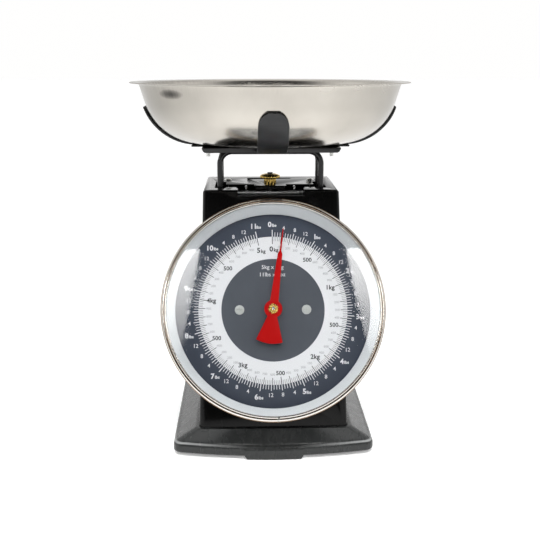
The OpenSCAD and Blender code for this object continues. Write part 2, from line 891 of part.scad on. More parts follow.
// Cross plate clipped to the front legs, with an arm that reaches forward to the rack
module rack_hanger() {
  plate_y = rod_r - bow_y;
  color([0.4, 0.4, 0.4])
  at_axis() difference() {
    union() {
      translate([-bow_x, plate_y, hanger_z - hanger_h / 2]) cube([2 * bow_x, 1.6, hanger_h]);
      both_sides() translate([bow_x, -bow_y, hanger_z - hanger_h / 2])
        cylinder(r = 3.7, h = hanger_h);
      intersection() {
        translate([hanger_x, dial_y, hanger_z - hanger_h / 2])
          cube([hanger_w, plate_y + 1 - dial_y, hanger_h]);
        translate([0, dial_y, dial_z]) rotate([90 - face_tilt, 0, 0])
          translate([-50, -100, rack_front - rack_t - 200]) cube([100, 200, 200]);
      }
    }
    both_sides() translate([bow_x, -bow_y, hanger_z - hanger_h])
      cylinder(r = rod_r, h = 2 * hanger_h);
    translate([0, dial_y, dial_z]) rotate([90 - face_tilt, 0, 0]) for (y = rack_hole_y) {
      translate([rack_x + rack_w / 2, y, rack_front - rack_t - 3]) cylinder(r = 0.8, h = 4);
    }
  }
}

strip_screw_x = 46;

module platform_tray() {
  color([0.04, 0.04, 0.04])
  at_axis() difference() {
    union() {
      translate([0, 0, platform_z - tray_t]) linear_extrude(tray_t) platform_plan();
      along_y(-platform_d / 2, -platform_d / 2 + tray_t) platform_flange();
      along_y(platform_d / 2 - tray_t, platform_d / 2) platform_flange();
    }
    // Notches that let the front and back claw strip out from under the tray
    translate([-claw_w / 2 - 0.4, -70, platform_z - tray_h - 1])
      cube([claw_w + 0.8, 140, tray_h - tray_t + 1]);
    for (x = [-strip_screw_x, strip_screw_x]) {
      translate([x, 0, platform_z - 10]) cylinder(r = 1.6, h = 20);
    }
  }
}

// Plan of the tray: a rectangle with a wing at each side
module platform_plan() {
  round_rect([-platform_w / 2, -platform_d / 2], [platform_w / 2, platform_d / 2], 0.4);
  round_rect([-wing_w / 2, -17], [wing_w / 2, 17], 1.2);
}

// Front view of the tray's folded front or back edge, its lower corners rounded
module platform_flange() {
  half = platform_w / 2 - 0.4;
  intersection() {
    round_rect([-half, platform_z - tray_h], [half, platform_z + 10], 2.6);
    translate([-half, platform_z - tray_h]) square([2 * half, tray_h]);
  }
}

// Bowl: flat bottom, round shoulder, drafted wall and a thin rim turned outward
bowl_t = 0.7;
bowl_bottom = platform_z + strip_t + 0.1;
bowl_flat = 53.7;
shoulder_r = 39.2;
shoulder_turn = 72.6;
wall_top_r = rim_r - 7;

// Outline of the bowl's sheet, with the outside at d = 0 and the inside at d = bowl_t
function bowl_curve(d, a0, a1) =
  arc(bowl_flat, bowl_bottom + shoulder_r, shoulder_r - d, a0 - 90, a1 - 90, 12);

module bowl() {
  color([0.8, 0.79, 0.77])
  at_axis() rotate_extrude($fn = 160)
    polygon(concat(
      [[0, bowl_bottom]],
      bowl_curve(0, 0, shoulder_turn),
      [[wall_top_r, rim_z - 1.9], [rim_r - 0.6, rim_z - 1], [rim_r, rim_z - 0.6]],
      [[rim_r, rim_z - 0.2], [rim_r - 0.3, rim_z], [wall_top_r - 0.2, rim_z - 0.9]],
      [[wall_top_r - 1, rim_z - 2]],
      bowl_curve(bowl_t, shoulder_turn, 0),
      [[0, bowl_bottom + bowl_t]]
    ));
}

// Claws: each strip leaves the platform, follows the bowl's shoulder at a small gap and ends
// in a straight tip that stands away from the wall
claw_gap = 0.4;
claw_turn = 60;
claw_tip = 7.3;

function claw_end(d) = [
  bowl_flat + (shoulder_r + d) * sin(claw_turn) + claw_tip * cos(claw_turn),
  bowl_bottom + shoulder_r - (shoulder_r + d) * cos(claw_turn) + claw_tip * sin(claw_turn)
];

// One claw of a strip whose underside lies at z_flat and leaves the flat at radius r_flat
module claw_profile(z_flat, r_flat, a_start) {
  polygon(concat(
    [[0, z_flat], [r_flat, z_flat]],
    bowl_curve(-claw_gap - strip_t, a_start, claw_turn),
    [claw_end(claw_gap + strip_t), claw_end(claw_gap)],
    bowl_curve(-claw_gap, claw_turn, a_start),
    [[r_flat - 0.3, z_flat + strip_t], [0, z_flat + strip_t]]
  ));
}

module strip(z_flat, r_flat, a_start) {
  tip_z = claw_end(claw_gap)[1];
  intersection() {
    both_sides() along_y(-claw_w / 2, claw_w / 2) claw_profile(z_flat, r_flat, a_start);
    // Rounded tips, seen along the strip
    along_x(300) {
      translate([0, tip_z - claw_w / 2]) circle(claw_w / 2);
      translate([-claw_w / 2, z_flat - 5]) square([claw_w, tip_z - claw_w / 2 - z_flat + 5]);
    }
  }
}

module side_strip() {
  color([0.05, 0.05, 0.05])
  at_axis() difference() {
    strip(platform_z, bowl_flat, 7);
    for (x = [-strip_screw_x, strip_screw_x]) {
      translate([x, 0, platform_z - 5]) cylinder(r = 1.6, h = 10);
    }
  }
}

module front_back_strip() {
  color([0.07, 0.07, 0.07])
  at_axis() rotate(90) strip(platform_z - tray_t - strip_t, 51, 19);
}

module strip_screws() {
  color([0.8, 0.8, 0.8])
  at_axis() for (x = [-strip_screw_x, strip_screw_x]) {
    translate([x, 0, platform_z + strip_t - 0.9]) mirror([0, 0, 1]) cylinder(r = 1.5, h = 10.5);
  }
}

module strip_nuts() {
  color([0.7, 0.7, 0.7])
  at_axis() for (x = [-strip_screw_x, strip_screw_x]) {
    translate([x, 0, platform_z - tray_t - 2.2]) hex_nut(2.9, 2.2, 1.55);
  }
}

// ---------- stabiliser arms ----------

module hinge_bracket(z) {
  translate([0, 0, z]) difference() {
    union() {
      translate([-25, top_back - 1.6, -6]) cube([50, 1.6, 12]);
      both_sides() translate([23.4, hinge_y, 0]) {
        rotate([0, 90, 0]) cylinder(r = 5, h = 1.6);
        translate([0, 0, -5]) cube([1.6, top_back - hinge_y - eps, 10]);
      }
    }
    translate([-40, hinge_y, 0]) rotate([0, 90, 0]) cylinder(r = arm_pin_r, h = 80);
    for (x = [-12, 12]) {
      translate([x, top_back + 5, 0]) rotate([90, 0, 0]) cylinder(r = 1.45, h = 10);
    }
  }
}

module upper_hinge_bracket() {
  color([0.45, 0.45, 0.45]) at_axis() hinge_bracket(hinge_z[0]);
}

module lower_hinge_bracket() {
  color([0.45, 0.45, 0.45]) at_axis() hinge_bracket(hinge_z[1]);
}

module hinge_pins() {
  color([0.8, 0.8, 0.8])
  at_axis() for (z = hinge_z) {
    translate([-31.5, hinge_y, z]) rotate([0, 90, 0]) cylinder(r = arm_pin_r, h = 63);
  }
}

slot_play = 0.8;
slot_r = arm_pin_r + 0.25;

// Two bars and a tie; the front ends have slots that leave the frame's pins room to travel
module stabiliser_arm() {
  difference() {
    union() {
      both_sides() translate([arm_x - 1, 0, 0]) {
        rotate([0, 90, 0]) cylinder(r = 4.5, h = 2);
        translate([0, -arm_len, -3.5]) cube([2, arm_len, 7]);
        translate([0, -arm_len, 0]) rotate([0, 90, 0]) cylinder(r = 4.5, h = 2);
      }
      translate([-arm_x, -12, -3]) cube([2 * arm_x, 1.6, 6]);
    }
    translate([-40, 0, 0]) rotate([0, 90, 0]) cylinder(r = arm_pin_r + 0.05, h = 80);
    both_sides() translate([arm_x - 5, -arm_len, 0]) {
      for (y = [-slot_play, slot_play]) {
        translate([0, y, 0]) rotate([0, 90, 0]) cylinder(r = slot_r, h = 10);
      }
      translate([0, -slot_play, -slot_r]) cube([10, 2 * slot_play, 2 * slot_r]);
    }
  }
}

module placed_arm(z) {
  at_axis() translate([0, hinge_y, z]) rotate([-arm_angle, 0, 0]) stabiliser_arm();
}

module upper_arm() {
  color([0.5, 0.5, 0.52]) placed_arm(hinge_z[0]);
}

module lower_arm() {
  color([0.5, 0.5, 0.52]) placed_arm(hinge_z[1]);
}

base_pan();
rubber_feet();
case_shell();
rear_cover();
rear_cover_screws();
base_screws();
dial_pan();
dial_pan_rivets();
dial_surround();
dial_plate();
dial_posts();
dial_screws();
bezel();
lens();
movement_front_plate();
movement_back_plate();
movement_pillars();
movement_nuts();
arbor_bushes();
spring_bridge();
top_screws();
upper_hinge_bracket();
lower_hinge_bracket();
hinge_pins();
platform_tray();
side_strip();
front_back_strip();
strip_screws();
strip_nuts();
front_bow();
rear_bow();
load_crossbar();
crossbar_nuts();
arm_collars();
rack_hanger();
rack();
rack_screws();
bowl();
pointer();
pointer_hub();
arbor();
pinion();
zero_nut();
zero_stud();
spring_yoke();
spring_left();
spring_right();
upper_arm();
lower_arm();
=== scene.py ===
"""Looks of the dial kitchen scale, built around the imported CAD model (metres, +Z up, dial towards -Y)."""

import json
import math

import bmesh
import bpy
from mathutils import Matrix, Vector


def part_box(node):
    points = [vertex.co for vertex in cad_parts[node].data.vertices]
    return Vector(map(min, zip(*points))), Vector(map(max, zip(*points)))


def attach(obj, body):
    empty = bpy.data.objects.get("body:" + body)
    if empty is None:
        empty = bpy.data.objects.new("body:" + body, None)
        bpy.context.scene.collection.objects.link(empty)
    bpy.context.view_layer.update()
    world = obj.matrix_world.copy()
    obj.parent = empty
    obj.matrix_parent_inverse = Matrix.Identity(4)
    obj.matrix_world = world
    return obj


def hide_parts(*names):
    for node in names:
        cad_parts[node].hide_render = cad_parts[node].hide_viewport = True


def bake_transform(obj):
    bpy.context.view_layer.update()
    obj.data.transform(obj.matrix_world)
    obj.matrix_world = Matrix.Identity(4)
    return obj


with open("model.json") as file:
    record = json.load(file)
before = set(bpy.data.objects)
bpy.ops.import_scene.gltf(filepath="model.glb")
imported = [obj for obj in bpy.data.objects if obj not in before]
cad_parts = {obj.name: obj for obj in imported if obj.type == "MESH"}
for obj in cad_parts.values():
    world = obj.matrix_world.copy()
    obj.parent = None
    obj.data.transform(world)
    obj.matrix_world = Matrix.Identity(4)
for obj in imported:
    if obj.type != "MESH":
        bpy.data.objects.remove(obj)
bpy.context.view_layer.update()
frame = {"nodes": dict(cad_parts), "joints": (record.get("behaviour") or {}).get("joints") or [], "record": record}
NODES = frame["nodes"]
BODIES = frame["record"]["behaviour"]["bodies"]
BODY_OF = {node: body for body, nodes in BODIES.items() for node in nodes}
SLOT_OF = {part["node"]: part["material_slot"] for part in frame["record"]["subparts"]}
MM = 0.001

# The bowl's axis, and the dial's own frame: local Z out of the dial, local Y up the front face
bowl_low, bowl_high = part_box("bowl")
AXIS = Matrix.Translation((0, (bowl_low.y + bowl_high.y) / 2, 0))
pointer_joint = next(j for j in frame["joints"] if j["name"] == "pointer_turn")
outward = -Vector(pointer_joint["axis"])
across = Vector((1, 0, 0))
upward = outward.cross(across)
DIAL = Matrix.Translation(pointer_joint["pos_m"]) @ Matrix((across, upward, outward)).transposed().to_4x4()


def span(node, matrix):
    """Lowest and highest corner of a CAD node in the axes of matrix, in millimetres."""
    inverse = matrix.inverted()
    points = [inverse @ v.co for v in NODES[node].data.vertices]
    low = Vector([min(p[i] for p in points) for i in range(3)]) / MM
    high = Vector([max(p[i] for p in points) for i in range(3)]) / MM
    return low, high


# ---------- materials (metres) ----------

class Shader:
    """A material whose colour, roughness and bump come from noise in object space."""

    def __init__(self, name):
        self.material = bpy.data.materials.new(name)
        self.material.use_nodes = True
        self.tree = self.material.node_tree
        self.tree.nodes.clear()
        self.output = self.add("ShaderNodeOutputMaterial")
        self.coords = self.add("ShaderNodeTexCoord").outputs["Object"]

    def add(self, kind, **values):
        """A new node; each value goes to the property or the input of that name."""
        node = self.tree.nodes.new(kind)
        for key, value in values.items():
            if hasattr(node, key):
                setattr(node, key, value)
            else:
                node.inputs[key.replace("_", " ")].default_value = value
        return node

    def link(self, source, target):
        self.tree.links.new(source, target)

    def split(self):
        """The x, y and z of the object's own coordinates."""
        node = self.add("ShaderNodeSeparateXYZ")
        self.link(self.coords, node.inputs[0])
        return node.outputs

    def noise(self, scale, detail=3.0, rough=0.5, stretch=(1, 1, 1), vector=None):
        mapping = self.add("ShaderNodeMapping")
        mapping.inputs["Scale"].default_value = stretch
        self.link(vector or self.coords, mapping.inputs["Vector"])
        node = self.add("ShaderNodeTexNoise", Scale=scale, Detail=detail, Roughness=rough)
        self.link(mapping.outputs[0], node.inputs["Vector"])
        return node.outputs["Fac"]

    def ramp(self, source, low, high, to_low=0.0, to_high=1.0):
        node = self.add("ShaderNodeMapRange")
        limits = {"From Min": low, "From Max": high, "To Min": to_low, "To Max": to_high}
        for key, value in limits.items():
            node.inputs[key].default_value = value
        self.link(source, node.inputs["Value"])
        return node.outputs["Result"]

    def maths(self, operation, a, b=0):
        node = self.add("ShaderNodeMath", operation=operation)
        for socket, value in zip(node.inputs, (a, b)):
            if isinstance(value, (int, float)):
                socket.default_value = value
            else:
                self.link(value, socket)
        return node.outputs[0]

    def blend(self, share, a, b):
        """Colour a where share is 0 and colour b where it is 1."""
        node = self.add("ShaderNodeMix", data_type="RGBA")
        self.link(share, node.inputs["Factor"])
        for socket, value in ((node.inputs[6], a), (node.inputs[7], b)):
            if isinstance(value, tuple):
                socket.default_value = (*value, 1.0)
            else:
                self.link(value, socket)
        return node.outputs[2]

    def bump(self, height, strength, distance, normal=None):
        node = self.add("ShaderNodeBump", Strength=strength, Distance=distance)
        self.link(height, node.inputs["Height"])
        if normal is not None:
            self.link(normal, node.inputs["Normal"])
        return node.outputs["Normal"]

    def principled(self, **values):
        node = self.add("ShaderNodeBsdfPrincipled")
        for key, value in values.items():
            socket = node.inputs[key.replace("_", " ")]
            if hasattr(value, "is_output"):
                self.link(value, socket)
            elif isinstance(value, tuple):
                socket.default_value = (*value, 1.0)
            else:
                socket.default_value = value
        self.link(node.outputs[0], self.output.inputs["Surface"])


def tone(colour, factor):
    return tuple(min(1.0, c * factor) for c in colour)


def worn_shoulder(s, base):
    """Painted highlight: a bright line along the front shoulder of the base, growing towards its corners."""
    height, highlight_grey = 0.00925, (0.42, 0.43, 0.43)
    x, y, z = s.split()
    side = s.ramp(s.maths("ABSOLUTE", x), 0.018, 0.062, 0, 0.62)
    off = s.maths("ABSOLUTE", s.maths("SUBTRACT", z, height))
    front = s.ramp(y, -0.086, -0.070, 1, 0)
    line = s.ramp(off, 0.0002, 0.0007, 1, 0)
    return s.blend(s.maths("MULTIPLY", s.maths("MULTIPLY", side, line), front), base, highlight_grey)


def painted(name, colour, rough, peel=0.12, grain=1400, spread=0.18, dust=0.03, ior=1.45, shoulder_highlight=False):
    """Sprayed or powder paint: orange peel, soft tone changes, faint dust and handling marks."""
    s = Shader(name)
    broad = s.ramp(s.noise(28, 4), 0.3, 0.7)
    base = s.blend(broad, tone(colour, 1 - spread), tone(colour, 1 + spread))
    # Painted highlight along the base's front shoulder, if asked for
    if shoulder_highlight:
        base = worn_shoulder(s, base)
    specks = s.ramp(s.noise(2600, 2, 0.6), 0.70, 0.80)
    dusted = s.blend(s.maths("MULTIPLY", specks, dust * 4), base, tone(colour, 6))
    marks = s.noise(120, 5, 0.65, (1, 1, 0.35))
    roughness = s.ramp(marks, 0.3, 0.75, rough * 0.82, rough * 1.25)
    fine = s.bump(s.noise(grain, 3, 0.55), peel, 0.00004)
    normal = s.bump(s.noise(260, 2), peel * 0.6, 0.00006, fine)
    s.principled(Base_Color=dusted, Roughness=roughness, Normal=normal, IOR=ior)
    return s.material


def metal(name, colour, rough, grain, depth, stain, stretch=(1, 1, 1), tint=None, edge=None):
    """Bare or plated metal with a grain and faint stains; edge is a painted dark reflection, its colour where seen
    aslant.
    """
    s = Shader(name)
    broad = s.ramp(s.noise(60, 5, 0.6), 0.35, 0.7)
    base = s.blend(s.maths("MULTIPLY", broad, stain * 4), colour, tint or tone(colour, 0.62))
    # Painted reflection: the colour turns towards edge where the surface is seen aslant
    if edge:
        facing = s.add("ShaderNodeLayerWeight", Blend=0.5).outputs["Facing"]
        base = s.blend(s.ramp(facing, 0.55, 0.92), base, edge)
    scratch = s.noise(grain, 4, 0.6, stretch)
    roughness = s.ramp(scratch, 0.3, 0.7, rough * 0.75, rough * 1.3)
    normal = s.bump(scratch, depth, 0.00003)
    s.principled(Base_Color=base, Metallic=1.0, Roughness=roughness, Normal=normal)
    return s.material


def steel_bowl(name):
    """Polished stainless steel: spun lines round the body, brushed strokes up the wall under the rim, painted
    shade at the sides and a painted dark reflection under the rim.
    """
    dull, bright, stroke_tone = (0.43, 0.405, 0.365), (0.52, 0.495, 0.45), (0.52, 0.495, 0.455)
    shaded, reflection_dark = (0.20, 0.19, 0.17), (0.05, 0.047, 0.044)
    side_from, side_to = 0.035, 0.096
    reflection_angle, reflection_turn = -2.38, 0.125
    reflection_height, reflection_rise = 0.2440, 0.0032
    s = Shader(name)
    x, from_origin, z = s.split()
    y = s.maths("SUBTRACT", from_origin, AXIS.translation.y)
    radius = s.maths("SQRT", s.maths("ADD", s.maths("MULTIPLY", x, x), s.maths("MULTIPLY", y, y)))
    angle = s.maths("ARCTAN2", y, x)
    spun_at = s.add("ShaderNodeCombineXYZ")
    s.link(radius, spun_at.inputs[0])
    s.link(z, spun_at.inputs[1])
    s.link(s.maths("MULTIPLY", angle, 0.0016), spun_at.inputs[2])
    spun = s.noise(2100, 4, 0.6, vector=spun_at.outputs[0])
    stroke_at = s.add("ShaderNodeCombineXYZ")
    s.link(s.maths("MULTIPLY", angle, 0.09), stroke_at.inputs[0])
    s.link(s.maths("MULTIPLY", z, 0.05), stroke_at.inputs[1])
    strokes = s.noise(900, 5, 0.7, vector=stroke_at.outputs[0])
    near_rim = s.ramp(z, 0.236, 0.247)
    smear = s.ramp(s.noise(26, 4, 0.55), 0.32, 0.72)
    colour = s.blend(smear, dull, bright)
    # Painted shade: the left and right sides darken, the left more
    colour = s.blend(s.ramp(x, -side_to, -side_from, 0.75, 0.0), colour, shaded)
    colour = s.blend(s.ramp(x, side_from, side_to, 0.0, 0.4), colour, shaded)
    brushed = s.maths("MULTIPLY", near_rim, s.ramp(strokes, 0.42, 0.75, 0, 0.65))
    colour = s.blend(brushed, colour, stroke_tone)
    # Painted reflection: a dark patch under the rim at the front left, broken up by the strokes
    off_angle = s.maths("DIVIDE", s.maths("SUBTRACT", angle, reflection_angle), reflection_turn)
    off_height = s.maths("DIVIDE", s.maths("SUBTRACT", z, reflection_height), reflection_rise)
    angle_part = s.maths("MULTIPLY", off_angle, off_angle)
    away = s.maths("ADD", angle_part, s.maths("MULTIPLY", off_height, off_height))
    dark_reflection = s.ramp(s.maths("ADD", away, s.maths("MULTIPLY", strokes, 1.2)), 0.6, 1.8, 0.95, 0)
    colour = s.blend(dark_reflection, colour, reflection_dark)
    height = s.add("ShaderNodeMix", data_type="FLOAT")
    s.link(near_rim, height.inputs[0])
    s.link(spun, height.inputs[2])
    s.link(strokes, height.inputs[3])
    body_rough = s.ramp(smear, 0, 1, 0.15, 0.23)
    roughness = s.maths("ADD", body_rough, s.maths("MULTIPLY", near_rim, 0.06))
    normal = s.bump(height.outputs[0], 0.05, 0.00003)
    s.principled(Base_Color=colour, Metallic=1.0, Roughness=roughness, Normal=normal)
    return s.material


def clear_lens(name):
    """Clear sheet: what lies behind shows through, and Fresnel reflection lies over its outer faces."""
    s = Shader(name)
    smear = s.ramp(s.noise(45, 5, 0.6), 0.35, 0.75, 0.02, 0.07)
    normal = s.bump(s.noise(30, 2), 0.04, 0.0002)
    gloss = s.add("ShaderNodeBsdfGlossy")
    gloss.inputs["Color"].default_value = (1, 1, 1, 1)
    s.link(smear, gloss.inputs["Roughness"])
    s.link(normal, gloss.inputs["Normal"])
    clear = s.add("ShaderNodeBsdfTransparent")
    clear.inputs["Color"].default_value = (0.975, 0.985, 0.985, 1)
    fresnel = s.add("ShaderNodeFresnel", IOR=1.6)
    s.link(normal, fresnel.inputs["Normal"])
    outside = s.maths("SUBTRACT", 1.0, s.add("ShaderNodeNewGeometry").outputs["Backfacing"])
    mix = s.add("ShaderNodeMixShader")
    s.link(s.maths("MULTIPLY", fresnel.outputs[0], outside), mix.inputs[0])
    s.link(clear.outputs[0], mix.inputs[1])
    s.link(gloss.outputs[0], mix.inputs[2])
    s.link(mix.outputs[0], s.output.inputs["Surface"])
    return s.material


FINISH = {
    # The base's paint carries a painted highlight along its front shoulder
    "base_paint": painted("base_paint", (0.020, 0.0215, 0.0215), rough=0.27, peel=0.03, grain=1100,
                          spread=0.1, dust=0.01, ior=1.42, shoulder_highlight=True),
    "case_paint": painted("case_paint", (0.0040, 0.0040, 0.0040), rough=0.09, peel=0.04, grain=900,
                          dust=0.01, ior=1.24),
    "frame_paint": painted("frame_paint", (0.008, 0.008, 0.0085), rough=0.18, peel=0.14, grain=700,
                           dust=0.02),
    "strip_paint": painted("strip_paint", (0.011, 0.0115, 0.0125), rough=0.36, peel=0.2, grain=1300),
    "cover_paint": painted("cover_paint", (0.016, 0.016, 0.017), rough=0.38, peel=0.2, grain=1300),
    "foot_rubber": painted("foot_rubber", (0.016, 0.016, 0.016), rough=0.75, peel=0.3, grain=900,
                           dust=0.10),
    "pointer_red": painted("pointer_red", (0.37, 0.0008, 0.0007), rough=0.42, peel=0.06, grain=1200,
                           spread=0.05, dust=0.0, ior=1.25),
    "dial_paint": painted("dial_outer", (0.036, 0.042, 0.060), rough=0.42, peel=0.05, grain=2200,
                          spread=0.07, dust=0.0),
    "surround_plastic": painted("surround_plastic", (0.62, 0.63, 0.65), rough=0.30, peel=0.06, grain=700,
                                spread=0.03, dust=0.0, ior=1.25),
    # The chrome darkens to a brown painted reflection where seen aslant
    "bezel_chrome": metal("bezel_chrome", (0.66, 0.64, 0.61), rough=0.10, grain=700, depth=0.03,
                          stain=0.06, tint=(0.50, 0.44, 0.37), edge=(0.20, 0.12, 0.07)),
    "bright_steel": metal("bright_steel", (0.72, 0.72, 0.70), rough=0.24, grain=1500, depth=0.10,
                          stain=0.10),
    "zinc_plate": metal("zinc_plate", (0.56, 0.57, 0.57), rough=0.36, grain=900, depth=0.15, stain=0.14,
                        stretch=(1, 1, 0.3)),
    "spring_wire": metal("spring_wire", (0.52, 0.52, 0.52), rough=0.28, grain=1300, depth=0.10,
                         stain=0.12),
    "dark_steel": metal("dark_steel", (0.09, 0.09, 0.09), rough=0.38, grain=1200, depth=0.15,
                        stain=0.10),
    "brass": metal("brass", (0.80, 0.56, 0.17), rough=0.24, grain=1100, depth=0.10, stain=0.16,
                   stretch=(1, 1, 0.4), tint=(0.42, 0.27, 0.06)),
    "bowl_steel": steel_bowl("bowl_steel"),
    "lens_glass": clear_lens("lens_glass"),
}
DIAL_CENTRE = painted("dial_inner", (0.054, 0.059, 0.073), rough=0.42, peel=0.05, grain=2200,
                      spread=0.06, dust=0.0)
PRINT_WHITE = painted("print_white", (0.63, 0.62, 0.64), rough=0.45, peel=0.04, grain=2400,
                      spread=0.02, dust=0.0)
PRINT_BLACK = painted("print_black", (0.012, 0.012, 0.014), rough=0.45, peel=0.04, grain=2400,
                      spread=0.05, dust=0.0)
PRINT_GREY = painted("print_grey", (0.30, 0.30, 0.32), rough=0.45, peel=0.04, grain=2400,
                     spread=0.05, dust=0.0)
SCREW_ZINC = painted("screw_zinc", (0.46, 0.465, 0.45), rough=0.3, peel=0.4, grain=2200,
                     spread=0.12, dust=0.0)
# Painted shade: a darker brown copy of the chrome for the bezel's outer edge band and its groove
CHROME_SHADE = metal("bezel_shade", (0.24, 0.155, 0.09), rough=0.22, grain=700, depth=0.05, stain=0.06,
                    tint=(0.16, 0.10, 0.06))


# ---------- mesh helpers (millimetres in, metres out) ----------

def piece(name, points, faces, node, place, material=None, smooth=True, rides=True, replaces=True):
    """A new visible piece that rides with node's body, and stands for node unless replaces is False."""
    mesh = bpy.data.meshes.new(name)
    mesh.from_pydata([place @ (Vector(p) * MM) for p in points], [], faces)
    mesh.materials.append(material or FINISH[SLOT_OF[node]])
    mesh.polygons.foreach_set("use_smooth", [smooth] * len(mesh.polygons))
    made = bmesh.new()
    made.from_mesh(mesh)
    bmesh.ops.recalc_face_normals(made, faces=made.faces)
    made.to_mesh(mesh)
    made.free()
    mesh.update()
    obj = bpy.data.objects.new(name, mesh)
    bpy.context.scene.collection.objects.link(obj)
    if rides:
        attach(obj, BODY_OF[node])
    if replaces:
        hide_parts(node)
    return obj


def crease(obj, degrees):
    """Marks the edges that stay sharp, for shading only."""
    obj.data.set_sharp_from_angle(angle=math.radians(degrees))


def refine(node, width):
    """A copy of a CAD node with its flat faces whole and its hard edges rounded, in place of the node."""
    name = node + "_finished"
    made = bmesh.new()
    made.from_mesh(NODES[node].data)
    bmesh.ops.remove_doubles(made, verts=made.verts, dist=2e-6)
    bmesh.ops.dissolve_limit(made, angle_limit=math.radians(0.4), verts=made.verts, edges=made.edges)
    mesh = bpy.data.meshes.new(name)
    made.to_mesh(mesh)
    made.free()
    mesh.materials.append(FINISH[SLOT_OF[node]])
    mesh.polygons.foreach_set("use_smooth", [True] * len(mesh.polygons))
    obj = bpy.data.objects.new(name, mesh)
    bpy.context.scene.collection.objects.link(obj)
    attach(obj, BODY_OF[node])
    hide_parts(node)
    bevel = obj.modifiers.new("rounded_edges", "BEVEL")
    bevel.width = width * MM
    bevel.segments = 2
    bevel.limit_method = "ANGLE"
    bevel.angle_limit = math.radians(32)
    bevel.use_clamp_overlap = False
    bevel.harden_normals = True


def skin(rings, sides, closed=True):
    """Quads between rings of points. If closed, the last ring joins the first; if not, both get caps."""
    faces = [
        (i * sides + k, i * sides + (k + 1) % sides,
         (i + 1) % rings * sides + (k + 1) % sides, (i + 1) % rings * sides + k)
        for i in range(rings if closed else rings - 1) for k in range(sides)
    ]
    if not closed:
        faces += [tuple(range(sides)), tuple(range((rings - 1) * sides, rings * sides))]
    return faces


def lathe(name, profile, node, place, steps, **more):
    """A closed profile of (radius, height) turned about the local Z axis; radius 0 becomes a pole."""
    points, faces, rows = [], [], []
    for r, z in profile:
        if r == 0:
            rows.append([len(points)] * steps)
            points.append((0, 0, z))
        else:
            rows.append(list(range(len(points), len(points) + steps)))
            turns = [2 * math.pi * k / steps for k in range(steps)]
            points += [(r * math.cos(t), r * math.sin(t), z) for t in turns]
    for i, low in enumerate(rows):
        high = rows[(i + 1) % len(rows)]
        for k in range(steps):
            n = (k + 1) % steps
            face = []
            for index in (low[k], low[n], high[n], high[k]):
                if index not in face:
                    face.append(index)
            if len(face) > 2:
                faces.append(face)
    return piece(name, points, faces, node, place, **more)


def arc(cx, cy, r, start, end, steps):
    """Points along a circle from angle start to angle end, in degrees."""
    turns = [math.radians(start + (end - start) * i / steps) for i in range(steps + 1)]
    return [(cx + r * math.cos(t), cy + r * math.sin(t)) for t in turns]


def tube(name, path, radius, sides, node, place, **more):
    """A round wire along a path, with rounded ends."""
    path = [Vector(p) for p in path]
    count = len(path)
    tangents = [(path[min(i + 1, count - 1)] - path[max(i - 1, 0)]).normalized() for i in range(count)]
    side = tangents[0].orthogonal().normalized()
    points = []
    for i, (centre, tangent) in enumerate(zip(path, tangents)):
        side = (side - tangent * side.dot(tangent)).normalized()
        other = tangent.cross(side)
        shrink = 0.6 if i in (0, count - 1) else 1.0
        for k in range(sides):
            t = 2 * math.pi * k / sides
            points.append(centre + (side * math.cos(t) + other * math.sin(t)) * radius * shrink)
    return piece(name, points, skin(count, sides, closed=False), node, place, **more)


# ---------- CAD nodes ----------

for node, obj in NODES.items():
    obj.data.materials.clear()
    obj.data.materials.append(SCREW_ZINC if node == "dial_screws" else FINISH[SLOT_OF[node]])

ROUNDED = {
    "platform_tray": 0.3, "side_strip": 0.3, "front_back_strip": 0.3, "spring_yoke": 0.4,
    "spring_bridge": 0.25, "load_crossbar": 0.3, "upper_arm": 0.2, "lower_arm": 0.2,
    "case_shell": 0.18, "pointer": 0.08, "rack_hanger": 0.2, "upper_hinge_bracket": 0.2,
    "lower_hinge_bracket": 0.2,
}
for node, width in ROUNDED.items():
    refine(node, width)


# ---------- bowl ----------

def build_bowl():
    """Spun bowl: flat floor, one long shoulder and a rolled rim."""
    floor_z = bowl_low.z / MM
    rim_z = bowl_high.z / MM
    rim_r = (bowl_high.x - bowl_low.x) / 2 / MM
    wall = rim_r - 7
    sheet = 0.7
    flat_r, shoulder_r, shoulder_turn = 53.7, 39.2, 72.6
    floor_rings = (12, 26, 40, 48)

    def shoulder(inset, start, end):
        return arc(flat_r, floor_z + shoulder_r, shoulder_r - inset, start - 90, end - 90, 36)

    profile = [(0, floor_z)] + [(r, floor_z) for r in floor_rings]
    profile += shoulder(0, 0, shoulder_turn)
    profile += [
        (wall - 0.9, rim_z - 4.4), (wall - 0.25, rim_z - 2.3), (wall + 0.15, rim_z - 1.55),
        (wall + 0.8, rim_z - 1.15), (wall + 1.9, rim_z - 1.0), (rim_r - 1.2, rim_z - 0.95),
        (rim_r - 0.35, rim_z - 0.85), (rim_r, rim_z - 0.5), (rim_r - 0.2, rim_z - 0.12),
        (rim_r - 0.7, rim_z), (rim_r - 1.6, rim_z - 0.12), (wall + 2.2, rim_z - 0.3),
        (wall + 0.6, rim_z - 0.5), (wall - 0.35, rim_z - 1.1), (wall - 0.85, rim_z - 2.1),
        (wall - 1.55, rim_z - 4.4),
    ]
    profile += shoulder(sheet, shoulder_turn, 0)
    profile += [(r, floor_z + sheet) for r in reversed(floor_rings)] + [(0, floor_z + sheet)]
    lathe("bowl_spun", profile, "bowl", AXIS, 256)


build_bowl()


# ---------- base ----------

pan_high = span("base_pan", AXIS)[1]
case_low, case_high = span("case_shell", AXIS)
DECK_Z = pan_high.z
HALF_W = pan_high.x
PAN_FRONT = -103.0
PAN_BOW = 7.0
CORNER_R = 7
SHOULDER_Z = 9.4
PAN_SHEET = 1.2


